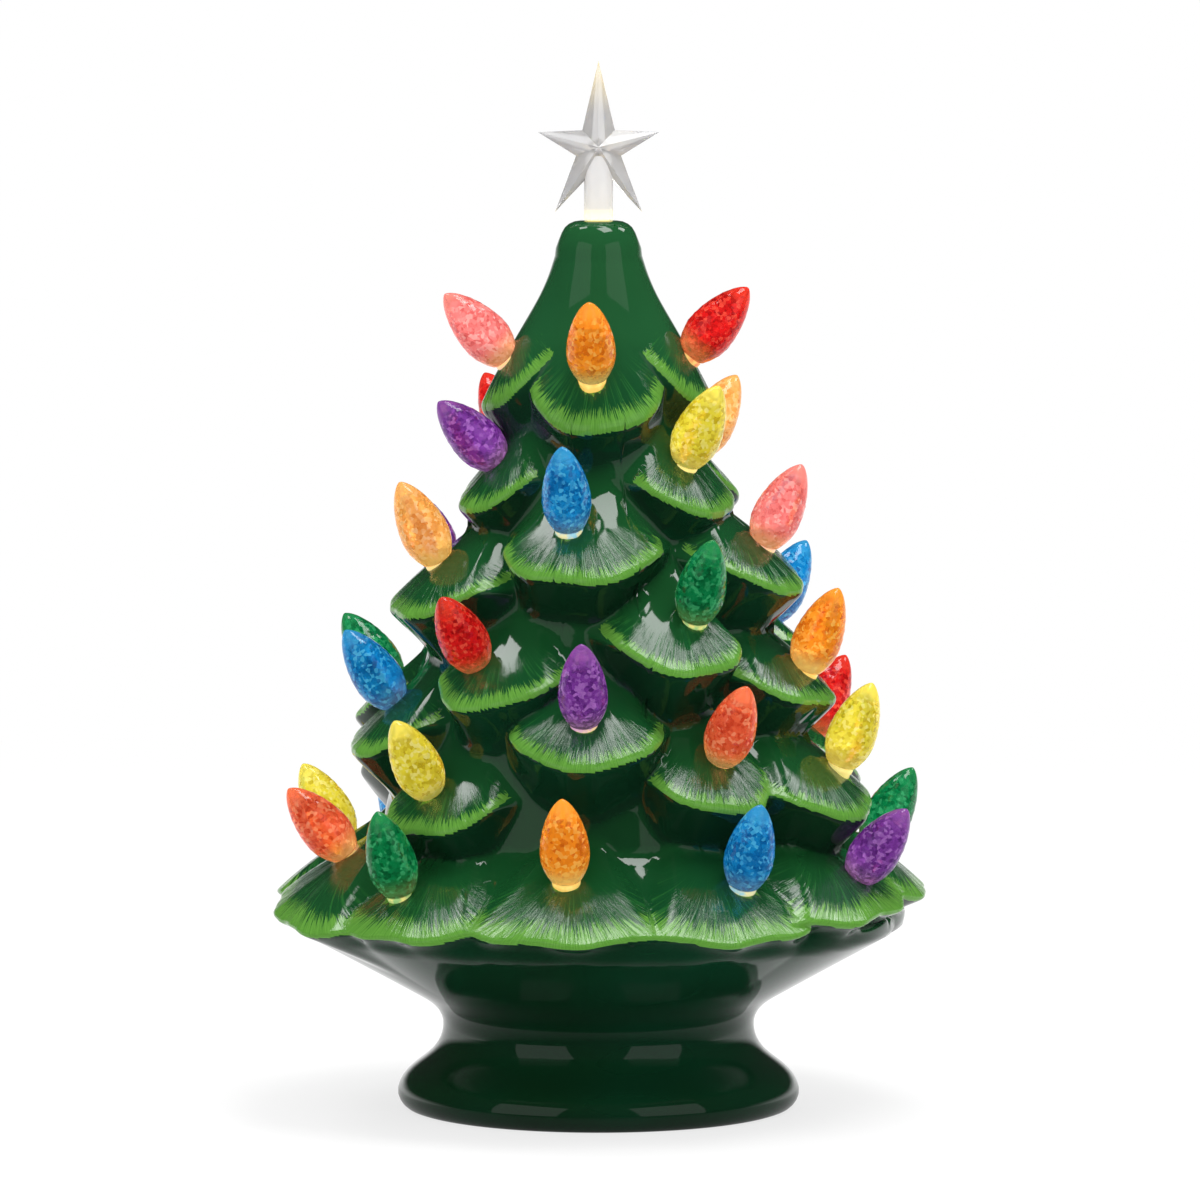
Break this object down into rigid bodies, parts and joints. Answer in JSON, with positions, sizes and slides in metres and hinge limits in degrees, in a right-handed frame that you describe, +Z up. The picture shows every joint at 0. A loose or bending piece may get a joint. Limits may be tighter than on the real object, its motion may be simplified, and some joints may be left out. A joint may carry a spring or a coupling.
{
  "type": "ceramic christmas tree",
  "caption": "Hollow glazed ceramic tabletop tree on a round foot, with lobed branches, lit push-in bulbs, a clear star and a battery base.",
  "frame": {"origin": "centre of the foot on the surface that the tree stands on", "axes": "+Z up along the trunk, -Y towards the side that the picture shows, +X to that side's right"},
  "size_m": [0.2229, 0.2214, 0.356],
  "materials": {
    "green_glaze": "gloss",
    "clear_plastic": "clear",
    "ring_plastic": "moulded",
    "base_plastic": "moulded",
    "screw_steel": "plain",
    "foot_rubber": "matt",
    "cell_wrap": "gloss",
    "contact_metal": "plated",
    "switch_plastic": "moulded",
    "board": "lacquered",
    "mast_plastic": "moulded",
    "lamp_lens": "clear",
    "lead_cover": "plain",
    "bulb_orange": "translucent",
    "bulb_red": "translucent",
    "bulb_blue": "translucent",
    "bulb_pink": "translucent",
    "bulb_purple": "translucent",
    "bulb_yellow": "translucent",
    "bulb_peach": "translucent",
    "bulb_green": "translucent",
    "bulb_coral": "translucent"
  },
  "bodies": {
    "tree": {"base_plate": "base_plastic", "batteries": "cell_wrap", "battery_contacts": "contact_metal", "ceramic_tree": "green_glaze", "circuit_board": "board", "lead_wires": "lead_cover", "led_mast": "mast_plastic", "leds": "lamp_lens", "mounting_ring": "ring_plastic", "plate_screws": "screw_steel", "rubber_feet": "foot_rubber", "switch_body": "switch_plastic"},
    "bulb_01": {"bulb_01_orange": "bulb_orange"},
    "bulb_02": {"bulb_02_red": "bulb_red"},
    "bulb_03": {"bulb_03_blue": "bulb_blue"},
    "bulb_04": {"bulb_04_pink": "bulb_pink"},
    "bulb_05": {"bulb_05_purple": "bulb_purple"},
    "bulb_06": {"bulb_06_yellow": "bulb_yellow"},
    "bulb_07": {"bulb_07_peach": "bulb_peach"},
    "bulb_08": {"bulb_08_green": "bulb_green"},
    "bulb_09": {"bulb_09_red": "bulb_red"},
    "bulb_10": {"bulb_10_blue": "bulb_blue"},
    "bulb_11": {"bulb_11_pink": "bulb_pink"},
    "bulb_12": {"bulb_12_yellow": "bulb_yellow"},
    "bulb_13": {"bulb_13_coral": "bulb_coral"},
    "bulb_14": {"bulb_14_purple": "bulb_purple"},
    "bulb_15": {"bulb_15_peach": "bulb_peach"},
    "bulb_16": {"bulb_16_red": "bulb_red"},
    "bulb_17": {"bulb_17_green": "bulb_green"},
    "bulb_18": {"bulb_18_orange": "bulb_orange"},
    "bulb_19": {"bulb_19_blue": "bulb_blue"},
    "bulb_20": {"bulb_20_pink": "bulb_pink"},
    "bulb_21": {"bulb_21_orange": "bulb_orange"},
    "bulb_22": {"bulb_22_green": "bulb_green"},
    "bulb_23": {"bulb_23_blue": "bulb_blue"},
    "bulb_24": {"bulb_24_purple": "bulb_purple"},
    "bulb_25": {"bulb_25_yellow": "bulb_yellow"},
    "bulb_26": {"bulb_26_coral": "bulb_coral"},
    "bulb_27": {"bulb_27_yellow": "bulb_yellow"},
    "bulb_28": {"bulb_28_red": "bulb_red"},
    "bulb_29": {"bulb_29_blue": "bulb_blue"},
    "bulb_30": {"bulb_30_orange": "bulb_orange"},
    "bulb_31": {"bulb_31_pink": "bulb_pink"},
    "bulb_32": {"bulb_32_coral": "bulb_coral"},
    "bulb_33": {"bulb_33_green": "bulb_green"},
    "bulb_34": {"bulb_34_orange": "bulb_orange"},
    "bulb_35": {"bulb_35_blue": "bulb_blue"},
    "bulb_36": {"bulb_36_purple": "bulb_purple"},
    "bulb_37": {"bulb_37_green": "bulb_green"},
    "bulb_38": {"bulb_38_pink": "bulb_pink"},
    "bulb_39": {"bulb_39_red": "bulb_red"},
    "bulb_40": {"bulb_40_purple": "bulb_purple"},
    "bulb_41": {"bulb_41_blue": "bulb_blue"},
    "bulb_42": {"bulb_42_yellow": "bulb_yellow"},
    "star": {"star_topper": "clear_plastic"},
    "door": {"battery_door": "base_plastic", "door_screw": "screw_steel"},
    "switch": {"switch_slider": "switch_plastic"}
  },
  "joints": [
    {"name": "star_lift", "type": "slide", "parent": "tree", "child": "star", "axis": [0, 0, 1], "range_m": [0, 0.014]},
    {"name": "door_lift", "type": "slide", "parent": "tree", "child": "door", "axis": [0, 0, -1], "range_m": [0, 0.01]},
    {"name": "switch_slide", "type": "slide", "parent": "tree", "child": "switch", "axis": [1, 0, 0], "range_m": [-0.0025, 0.0025]},
    {"name": "bulb_01_pull", "type": "slide", "parent": "tree", "child": "bulb_01", "axis": [-0.034, -0.5139, 0.8572], "range_m": [0, 0.009]},
    {"name": "bulb_02_pull", "type": "slide", "parent": "tree", "child": "bulb_02", "axis": [0.6471, -0.108, 0.7547], "range_m": [0, 0.009]},
    {"name": "bulb_03_pull", "type": "slide", "parent": "tree", "child": "bulb_03", "axis": [0.0215, 0.6153, 0.788], "range_m": [0, 0.009]},
    {"name": "bulb_04_pull", "type": "slide", "parent": "tree", "child": "bulb_04", "axis": [-0.6853, -0.1135, 0.7193], "range_m": [0, 0.009]},
    {"name": "bulb_05_pull", "type": "slide", "parent": "tree", "child": "bulb_05", "axis": [-0.6698, -0.2623, 0.6947], "range_m": [0, 0.009]},
    {"name": "bulb_06_pull", "type": "slide", "parent": "tree", "child": "bulb_06", "axis": [0.3765, -0.3054, 0.8746], "range_m": [0, 0.009]},
    {"name": "bulb_07_pull", "type": "slide", "parent": "tree", "child": "bulb_07", "axis": [0.4763, 0.2323, 0.848], "range_m": [0, 0.009]},
    {"name": "bulb_08_pull", "type": "slide", "parent": "tree", "child": "bulb_08", "axis": [0.0967, 0.6879, 0.7193], "range_m": [0, 0.009]},
    {"name": "bulb_09_pull", "type": "slide", "parent": "tree", "child": "bulb_09", "axis": [-0.3938, 0.3546, 0.848], "range_m": [0, 0.009]},
    {"name": "bulb_10_pull", "type": "slide", "parent": "tree", "child": "bulb_10", "axis": [-0.0744, -0.3671, 0.9272], "range_m": [0, 0.009]},
    {"name": "bulb_11_pull", "type": "slide", "parent": "tree", "child": "bulb_11", "axis": [0.4288, -0.149, 0.891], "range_m": [0, 0.009]},
    {"name": "bulb_12_pull", "type": "slide", "parent": "tree", "child": "bulb_12", "axis": [0.2418, 0.4024, 0.8829], "range_m": [0, 0.009]},
    {"name": "bulb_13_pull", "type": "slide", "parent": "tree", "child": "bulb_13", "axis": [-0.171, 0.4698, 0.866], "range_m": [0, 0.009]},
    {"name": "bulb_14_pull", "type": "slide", "parent": "tree", "child": "bulb_14", "axis": [-0.4568, 0.2034, 0.866], "range_m": [0, 0.009]},
    {"name": "bulb_15_pull", "type": "slide", "parent": "tree", "child": "bulb_15", "axis": [-0.4265, -0.1555, 0.891], "range_m": [0, 0.009]},
    {"name": "bulb_16_pull", "type": "slide", "parent": "tree", "child": "bulb_16", "axis": [-0.3829, -0.4821, 0.788], "range_m": [0, 0.009]},
    {"name": "bulb_17_pull", "type": "slide", "parent": "tree", "child": "bulb_17", "axis": [0.2092, -0.3672, 0.9063], "range_m": [0, 0.009]},
    {"name": "bulb_18_pull", "type": "slide", "parent": "tree", "child": "bulb_18", "axis": [0.3692, -0.1279, 0.9205], "range_m": [0, 0.009]},
    {"name": "bulb_19_pull", "type": "slide", "parent": "tree", "child": "bulb_19", "axis": [0.4494, 0.2192, 0.866], "range_m": [0, 0.009]},
    {"name": "bulb_20_pull", "type": "slide", "parent": "tree", "child": "bulb_20", "axis": [0.1132, 0.5327, 0.8387], "range_m": [0, 0.009]},
    {"name": "bulb_21_pull", "type": "slide", "parent": "tree", "child": "bulb_21", "axis": [-0.3619, 0.4632, 0.809], "range_m": [0, 0.009]},
    {"name": "bulb_22_pull", "type": "slide", "parent": "tree", "child": "bulb_22", "axis": [-0.5558, 0.1914, 0.809], "range_m": [0, 0.009]},
    {"name": "bulb_23_pull", "type": "slide", "parent": "tree", "child": "bulb_23", "axis": [-0.5561, -0.1406, 0.8192], "range_m": [0, 0.009]},
    {"name": "bulb_24_pull", "type": "slide", "parent": "tree", "child": "bulb_24", "axis": [-0.0278, -0.4217, 0.9063], "range_m": [0, 0.009]},
    {"name": "bulb_25_pull", "type": "slide", "parent": "tree", "child": "bulb_25", "axis": [-0.3931, -0.377, 0.8387], "range_m": [0, 0.009]},
    {"name": "bulb_26_pull", "type": "slide", "parent": "tree", "child": "bulb_26", "axis": [0.2846, -0.4292, 0.8572], "range_m": [0, 0.009]},
    {"name": "bulb_27_pull", "type": "slide", "parent": "tree", "child": "bulb_27", "axis": [0.3535, -0.1241, 0.9272], "range_m": [0, 0.009]},
    {"name": "bulb_28_pull", "type": "slide", "parent": "tree", "child": "bulb_28", "axis": [0.4183, 0.2131, 0.8829], "range_m": [0, 0.009]},
    {"name": "bulb_29_pull", "type": "slide", "parent": "tree", "child": "bulb_29", "axis": [0.1873, 0.4636, 0.866], "range_m": [0, 0.009]},
    {"name": "bulb_30_pull", "type": "slide", "parent": "tree", "child": "bulb_30", "axis": [-0.1954, 0.4603, 0.866], "range_m": [0, 0.009]},
    {"name": "bulb_31_pull", "type": "slide", "parent": "tree", "child": "bulb_31", "axis": [-0.4503, 0.3778, 0.809], "range_m": [0, 0.009]},
    {"name": "bulb_32_pull", "type": "slide", "parent": "tree", "child": "bulb_32", "axis": [-0.6405, -0.1936, 0.7431], "range_m": [0, 0.009]},
    {"name": "bulb_33_pull", "type": "slide", "parent": "tree", "child": "bulb_33", "axis": [-0.2471, -0.2596, 0.9336], "range_m": [0, 0.009]},
    {"name": "bulb_34_pull", "type": "slide", "parent": "tree", "child": "bulb_34", "axis": [-0.0455, -0.3718, 0.9272], "range_m": [0, 0.009]},
    {"name": "bulb_35_pull", "type": "slide", "parent": "tree", "child": "bulb_35", "axis": [0.1949, -0.3199, 0.9272], "range_m": [0, 0.009]},
    {"name": "bulb_36_pull", "type": "slide", "parent": "tree", "child": "bulb_36", "axis": [0.551, -0.2746, 0.788], "range_m": [0, 0.009]},
    {"name": "bulb_37_pull", "type": "slide", "parent": "tree", "child": "bulb_37", "axis": [0.4655, 0.0606, 0.8829], "range_m": [0, 0.009]},
    {"name": "bulb_38_pull", "type": "slide", "parent": "tree", "child": "bulb_38", "axis": [0.394, 0.3078, 0.866], "range_m": [0, 0.009]},
    {"name": "bulb_39_pull", "type": "slide", "parent": "tree", "child": "bulb_39", "axis": [0.2206, 0.5748, 0.788], "range_m": [0, 0.009]},
    {"name": "bulb_40_pull", "type": "slide", "parent": "tree", "child": "bulb_40", "axis": [-0.0868, 0.4924, 0.866], "range_m": [0, 0.009]},
    {"name": "bulb_41_pull", "type": "slide", "parent": "tree", "child": "bulb_41", "axis": [-0.4039, 0.4646, 0.788], "range_m": [0, 0.009]},
    {"name": "bulb_42_pull", "type": "slide", "parent": "tree", "child": "bulb_42", "axis": [-0.4759, 0.1534, 0.866], "range_m": [0, 0.009]}
  ]
}
